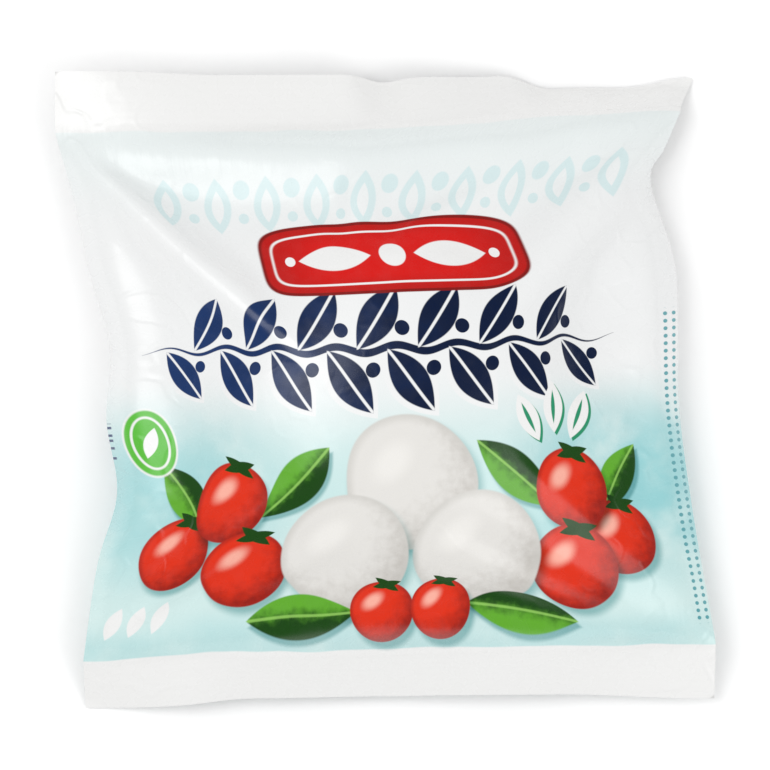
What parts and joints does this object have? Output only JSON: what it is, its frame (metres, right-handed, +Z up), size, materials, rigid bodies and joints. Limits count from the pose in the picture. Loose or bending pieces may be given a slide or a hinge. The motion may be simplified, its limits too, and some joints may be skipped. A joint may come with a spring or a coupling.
{
  "type": "mozzarella pouch",
  "caption": "Sealed film pillow pack of fresh mozzarella in brine, lying flat, with a ball-shaped rise, welded top and bottom seals and a folded seam along its back.",
  "frame": {"origin": "on the table, under the middle of the pouch's outline", "axes": "+Z up through the printed front, +Y towards the top seal, +X to the right as the print is read"},
  "size_m": [0.1396, 0.135, 0.037],
  "materials": {
    "film": "printed polyethylene film, soft gloss, with shallow folds"
  },
  "bodies": {
    "root": {"pouch": "film"}
  },
  "joints": []
}
